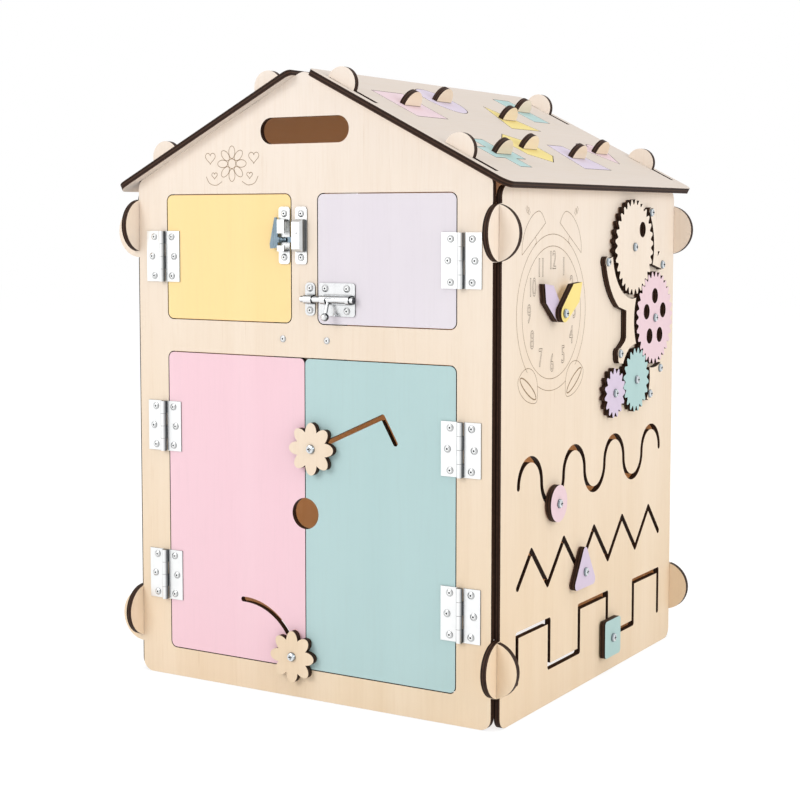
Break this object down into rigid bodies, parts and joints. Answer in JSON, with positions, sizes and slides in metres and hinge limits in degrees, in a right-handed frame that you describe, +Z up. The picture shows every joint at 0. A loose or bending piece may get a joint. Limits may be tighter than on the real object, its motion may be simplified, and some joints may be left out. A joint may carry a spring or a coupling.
{
  "type": "busy board toy house",
  "caption": "Plywood toy house busy board with hinged doors and windows, metal latches, gears, clock hands, path sliders and a shape-sorter roof.",
  "frame": {"origin": "on the table under the centre of the house", "axes": "+X to the right seen from the doors, +Y from the doors to the back, +Z up"},
  "size_m": [0.452, 0.452, 0.5989],
  "materials": {
    "lilac_ply": "satin",
    "pink_ply": "satin",
    "ply": "satin",
    "steel": "satin",
    "teal_ply": "satin",
    "yellow_ply": "satin",
    "zinc": "satin"
  },
  "bodies": {
    "house": {"front_panel": "ply", "back_panel": "ply", "left_panel": "ply", "right_panel": "ply", "roof_left": "ply", "roof_right": "ply", "sorter_backing": "ply", "hinge_frame_leaves": "zinc", "hinge_pins": "zinc", "rivets_frame": "zinc", "door_stop": "ply", "latch_keeper": "zinc", "bolt_keeper": "zinc", "guard_top": "ply", "guard_left": "ply", "guard_low": "ply", "wall_screws": "zinc", "wall_nuts": "zinc", "wall_washers": "zinc"},
    "yellow_window": {"window_yellow": "yellow_ply", "hinge_leaf_yellow": "zinc", "rivets_yellow": "zinc", "latch_plate": "zinc"},
    "latch": {"latch_tongue": "steel"},
    "lilac_window": {"window_lilac": "lilac_ply", "hinge_leaf_lilac": "zinc", "rivets_lilac": "zinc", "bolt_plate": "zinc"},
    "bolt": {"bolt_rod": "zinc"},
    "pink_door": {"door_pink": "pink_ply", "hinge_leaves_pink": "zinc", "rivets_pink": "zinc"},
    "teal_door": {"door_teal": "teal_ply", "hinge_leaves_teal": "zinc", "rivets_teal": "zinc"},
    "low_screw": {"flower_low_screw": "zinc"},
    "low_flower": {"flower_low": "ply"},
    "up_screw": {"flower_up_screw": "zinc"},
    "up_flower": {"flower_up": "ply"},
    "gear_pink_wheel": {"gear_pink": "pink_ply"},
    "gear_cream_wheel": {"gear_cream": "ply"},
    "gear_teal_wheel": {"gear_teal": "teal_ply"},
    "gear_lilac_wheel": {"gear_lilac": "lilac_ply"},
    "hour": {"hand_hour": "lilac_ply"},
    "minute": {"hand_minute": "yellow_ply"},
    "disc_screw": {"slider_disc_screw": "zinc"},
    "disc_slider": {"slider_disc": "pink_ply"},
    "triangle_screw": {"slider_triangle_screw": "zinc"},
    "triangle_slider": {"slider_triangle": "lilac_ply"},
    "square_screw": {"slider_square_screw": "zinc"},
    "square_slider": {"slider_square": "teal_ply"},
    "piece_square": {"sorter_square": "pink_ply"},
    "piece_disc": {"sorter_disc": "lilac_ply"},
    "piece_triangle": {"sorter_triangle": "yellow_ply"},
    "piece_bar": {"sorter_bar": "teal_ply"},
    "piece_cross": {"sorter_cross": "teal_ply"},
    "piece_hexagon": {"sorter_hexagon": "yellow_ply"},
    "piece_trapezium": {"sorter_trapezium": "lilac_ply"},
    "piece_heart": {"sorter_heart": "pink_ply"}
  },
  "joints": [
    {"name": "yellow_window_hinge", "type": "hinge", "parent": "house", "child": "yellow_window", "pos_m": [-0.1691, -0.2091, 0.4221], "axis": [0, 0, -1], "range_deg": [0, 120]},
    {"name": "lilac_window_hinge", "type": "hinge", "parent": "house", "child": "lilac_window", "pos_m": [0.1691, -0.2091, 0.4221], "axis": [0, 0, 1], "range_deg": [0, 120]},
    {"name": "pink_door_hinge", "type": "hinge", "parent": "house", "child": "pink_door", "pos_m": [-0.1691, -0.2091, 0.1778], "axis": [0, 0, -1], "range_deg": [0, 120]},
    {"name": "teal_door_hinge", "type": "hinge", "parent": "house", "child": "teal_door", "pos_m": [0.1691, -0.2091, 0.1778], "axis": [0, 0, 1], "range_deg": [0, 120]},
    {"name": "latch_slide", "type": "slide", "parent": "yellow_window", "child": "latch", "axis": [-1, 0, 0], "range_m": [0, 0.007], "stiffness_N_per_m": 150, "springref_m": -0.003},
    {"name": "bolt_slide", "type": "slide", "parent": "lilac_window", "child": "bolt", "axis": [1, 0, 0], "range_m": [0, 0.0165]},
    {"name": "low_flower_path", "type": "hinge", "parent": "pink_door", "child": "low_screw", "pos_m": [-0.07183, -0.206, 0.02635], "axis": [0, -1, 0], "range_deg": [0, 78]},
    {"name": "low_flower_spin", "type": "hinge", "parent": "low_screw", "child": "low_flower", "pos_m": [-0.0118, -0.206, 0.0406], "axis": [0, -1, 0], "continuous": true},
    {"name": "up_flower_path", "type": "slide", "parent": "teal_door", "child": "up_screw", "axis": [0.9092, 0, 0.4163], "range_m": [0, 0.0828]},
    {"name": "up_flower_spin", "type": "hinge", "parent": "up_screw", "child": "up_flower", "pos_m": [0.0111, -0.206, 0.2428], "axis": [0, -1, 0], "continuous": true},
    {"name": "gear_pink_spin", "type": "hinge", "parent": "house", "child": "gear_pink_wheel", "pos_m": [0.206, 0.133, 0.3557], "axis": [1, 0, 0], "continuous": true},
    {"name": "gear_cream_spin", "type": "hinge", "parent": "house", "child": "gear_cream_wheel", "pos_m": [0.206, 0.07768, 0.43046], "axis": [1, 0, 0], "continuous": true},
    {"name": "gear_teal_spin", "type": "hinge", "parent": "house", "child": "gear_teal_wheel", "pos_m": [0.206, 0.08593, 0.29413], "axis": [1, 0, 0], "continuous": true},
    {"name": "gear_lilac_spin", "type": "hinge", "parent": "house", "child": "gear_lilac_wheel", "pos_m": [0.206, 0.03245, 0.28499], "axis": [1, 0, 0], "continuous": true},
    {"name": "hour_hand_spin", "type": "hinge", "parent": "house", "child": "hour", "pos_m": [0.206, -0.0985, 0.3715], "axis": [1, 0, 0], "continuous": true},
    {"name": "minute_hand_spin", "type": "hinge", "parent": "house", "child": "minute", "pos_m": [0.206, -0.0985, 0.3715], "axis": [1, 0, 0], "continuous": true},
    {"name": "disc_path", "type": "hinge", "parent": "house", "child": "disc_screw", "pos_m": [0.206, -0.0946, 0.2155], "axis": [1, 0, 0], "range_deg": [-80, 80]},
    {"name": "disc_spin", "type": "hinge", "parent": "disc_screw", "child": "disc_slider", "pos_m": [0.206, -0.0946, 0.19185], "axis": [1, 0, 0], "continuous": true},
    {"name": "triangle_path", "type": "slide", "parent": "house", "child": "triangle_screw", "axis": [0, 0.6771, 0.7359], "range_m": [0, 0.0506]},
    {"name": "triangle_spin", "type": "hinge", "parent": "triangle_screw", "child": "triangle_slider", "pos_m": [0.206, -0.0346, 0.1158], "axis": [1, 0, 0], "continuous": true},
    {"name": "square_path", "type": "slide", "parent": "house", "child": "square_screw", "axis": [0, 0, 1], "range_m": [0, 0.0442]},
    {"name": "square_spin", "type": "hinge", "parent": "square_screw", "child": "square_slider", "pos_m": [0.206, 0.0333, 0.0358], "axis": [1, 0, 0], "continuous": true},
    {"name": "lift_square", "type": "slide", "parent": "house", "child": "piece_square", "axis": [0.454, 0, 0.891], "range_m": [0, 0.03]},
    {"name": "lift_disc", "type": "slide", "parent": "house", "child": "piece_disc", "axis": [0.454, 0, 0.891], "range_m": [0, 0.03]},
    {"name": "lift_triangle", "type": "slide", "parent": "house", "child": "piece_triangle", "axis": [0.454, 0, 0.891], "range_m": [0, 0.03]},
    {"name": "lift_bar", "type": "slide", "parent": "house", "child": "piece_bar", "axis": [0.454, 0, 0.891], "range_m": [0, 0.03]},
    {"name": "lift_cross", "type": "slide", "parent": "house", "child": "piece_cross", "axis": [0.454, 0, 0.891], "range_m": [0, 0.03]},
    {"name": "lift_hexagon", "type": "slide", "parent": "house", "child": "piece_hexagon", "axis": [0.454, 0, 0.891], "range_m": [0, 0.03]},
    {"name": "lift_trapezium", "type": "slide", "parent": "house", "child": "piece_trapezium", "axis": [0.454, 0, 0.891], "range_m": [0, 0.03]},
    {"name": "lift_heart", "type": "slide", "parent": "house", "child": "piece_heart", "axis": [0.454, 0, 0.891], "range_m": [0, 0.03]}
  ],
  "couplings": [
    {"joint": "gear_cream_spin", "follows": "gear_pink_spin", "ratio": -1},
    {"joint": "gear_teal_spin", "follows": "gear_pink_spin", "ratio": -1.5},
    {"joint": "gear_lilac_spin", "follows": "gear_pink_spin", "ratio": 2}
  ]
}
